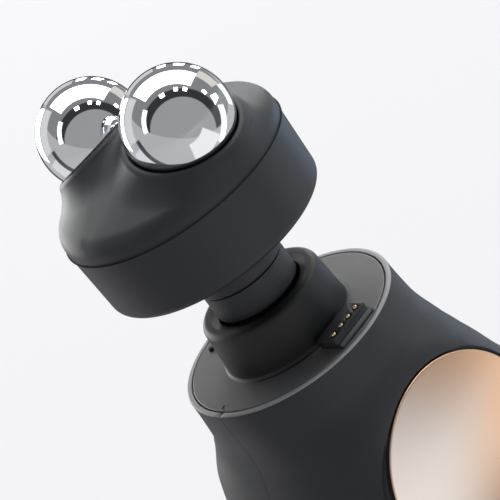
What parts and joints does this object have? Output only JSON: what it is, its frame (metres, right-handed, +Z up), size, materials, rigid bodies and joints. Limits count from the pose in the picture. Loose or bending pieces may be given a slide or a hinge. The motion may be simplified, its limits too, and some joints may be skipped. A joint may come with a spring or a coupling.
{
  "type": "facial massager",
  "caption": "Palm-sized facial massager with a percussion arm, a push-on round head with two ball electrodes, sprung contact pins and buttons on the back.",
  "frame": {"origin": "middle of the base foot's underside, on the neck axis", "axes": "+Z up along the neck axis, front disc towards -Y, display and buttons towards +Y, +X to the right seen from the front"},
  "size_m": [0.0724, 0.0599, 0.1442],
  "materials": {
    "soft_black": "soft-touch charcoal",
    "plate_grey": "satin grey",
    "gold": "satin anodised pale gold",
    "chrome": "mirror",
    "steel": "plain machined",
    "frame_metal": "die cast",
    "contact_gold": "plated",
    "rubber": "matt",
    "gloss_black": "gloss",
    "circuit_board": "solder mask",
    "cell_wrap": "shrink wrap",
    "nylon": "moulded"
  },
  "bodies": {
    "body": {"front_shell": "soft_black", "back_shell": "soft_black", "front_disc": "gold", "disc_gasket": "rubber", "case_screw_1": "steel", "case_screw_2": "steel", "case_screw_3": "steel", "case_screw_4": "steel", "platform_plate": "plate_grey", "locating_pin_left": "rubber", "locating_pin_right": "rubber", "contact_block": "plate_grey", "pin_carrier": "rubber", "neck_housing": "soft_black", "neck_seal": "rubber", "shaft_bushing": "nylon", "chassis": "frame_metal", "motor_can": "steel", "battery_cell": "cell_wrap", "battery_tray": "nylon", "main_board": "circuit_board", "board_screw_1": "steel", "board_screw_2": "steel", "display_module": "gloss_black", "keypad_strip": "nylon", "control_panel": "gloss_black", "display_window": "gloss_black", "charge_port": "steel", "charge_board": "circuit_board", "base_foot": "rubber"},
    "arm": {"arm_shaft": "steel", "wrist_pin": "steel", "arm_cap": "soft_black"},
    "head": {"head_cover": "soft_black", "head_skirt": "soft_black", "head_boss": "soft_black", "head_board": "circuit_board", "head_screw_1": "steel", "head_screw_2": "steel", "head_screw_3": "steel", "electrode_ball_front": "chrome", "electrode_ball_rear": "chrome", "ball_seal_front": "rubber", "ball_seal_rear": "rubber", "electrode_nut_front": "contact_gold", "electrode_nut_rear": "contact_gold"},
    "crank": {"motor_shaft": "steel", "crank_disc": "steel", "crank_pin": "steel"},
    "rod": {"connecting_rod": "frame_metal"},
    "plus_button": {"button_plus": "soft_black"},
    "mode_button": {"button_mode": "soft_black"},
    "minus_button": {"button_minus": "soft_black"},
    "power_button": {"button_power": "soft_black"},
    "pin_1": {"contact_pin_1": "contact_gold"},
    "pin_2": {"contact_pin_2": "contact_gold"},
    "pin_3": {"contact_pin_3": "contact_gold"},
    "pin_4": {"contact_pin_4": "contact_gold"}
  },
  "joints": [
    {"name": "percussion_stroke", "type": "slide", "parent": "body", "child": "arm", "axis": [0, 0, 1], "range_m": [-0.0018, 0.002]},
    {"name": "head_pull", "type": "slide", "parent": "arm", "child": "head", "axis": [0, 0, 1], "range_m": [0, 0.02]},
    {"name": "crank_spin", "type": "hinge", "parent": "body", "child": "crank", "pos_m": [0, 0.0039, 0.045], "axis": [0, 1, 0], "continuous": true},
    {"name": "rod_swing", "type": "hinge", "parent": "arm", "child": "rod", "pos_m": [0, 0, 0.06], "axis": [0, 1, 0], "range_deg": [0, 15.2]},
    {"name": "plus_press", "type": "slide", "parent": "body", "child": "plus_button", "axis": [0, -1, 0], "range_m": [0, 0.0005], "stiffness_N_per_m": 1000},
    {"name": "mode_press", "type": "slide", "parent": "body", "child": "mode_button", "axis": [0, -1, 0], "range_m": [0, 0.0005], "stiffness_N_per_m": 1000},
    {"name": "minus_press", "type": "slide", "parent": "body", "child": "minus_button", "axis": [0, -1, 0], "range_m": [0, 0.0005], "stiffness_N_per_m": 1000},
    {"name": "power_press", "type": "slide", "parent": "body", "child": "power_button", "axis": [0, -1, 0], "range_m": [0, 0.0005], "stiffness_N_per_m": 1000},
    {"name": "pin_1_press", "type": "slide", "parent": "body", "child": "pin_1", "axis": [0, 0, -1], "range_m": [0, 0.0004], "stiffness_N_per_m": 1000},
    {"name": "pin_2_press", "type": "slide", "parent": "body", "child": "pin_2", "axis": [0, 0, -1], "range_m": [0, 0.0004], "stiffness_N_per_m": 1000},
    {"name": "pin_3_press", "type": "slide", "parent": "body", "child": "pin_3", "axis": [0, 0, -1], "range_m": [0, 0.0004], "stiffness_N_per_m": 1000},
    {"name": "pin_4_press", "type": "slide", "parent": "body", "child": "pin_4", "axis": [0, 0, -1], "range_m": [0, 0.0004], "stiffness_N_per_m": 1000}
  ]
}
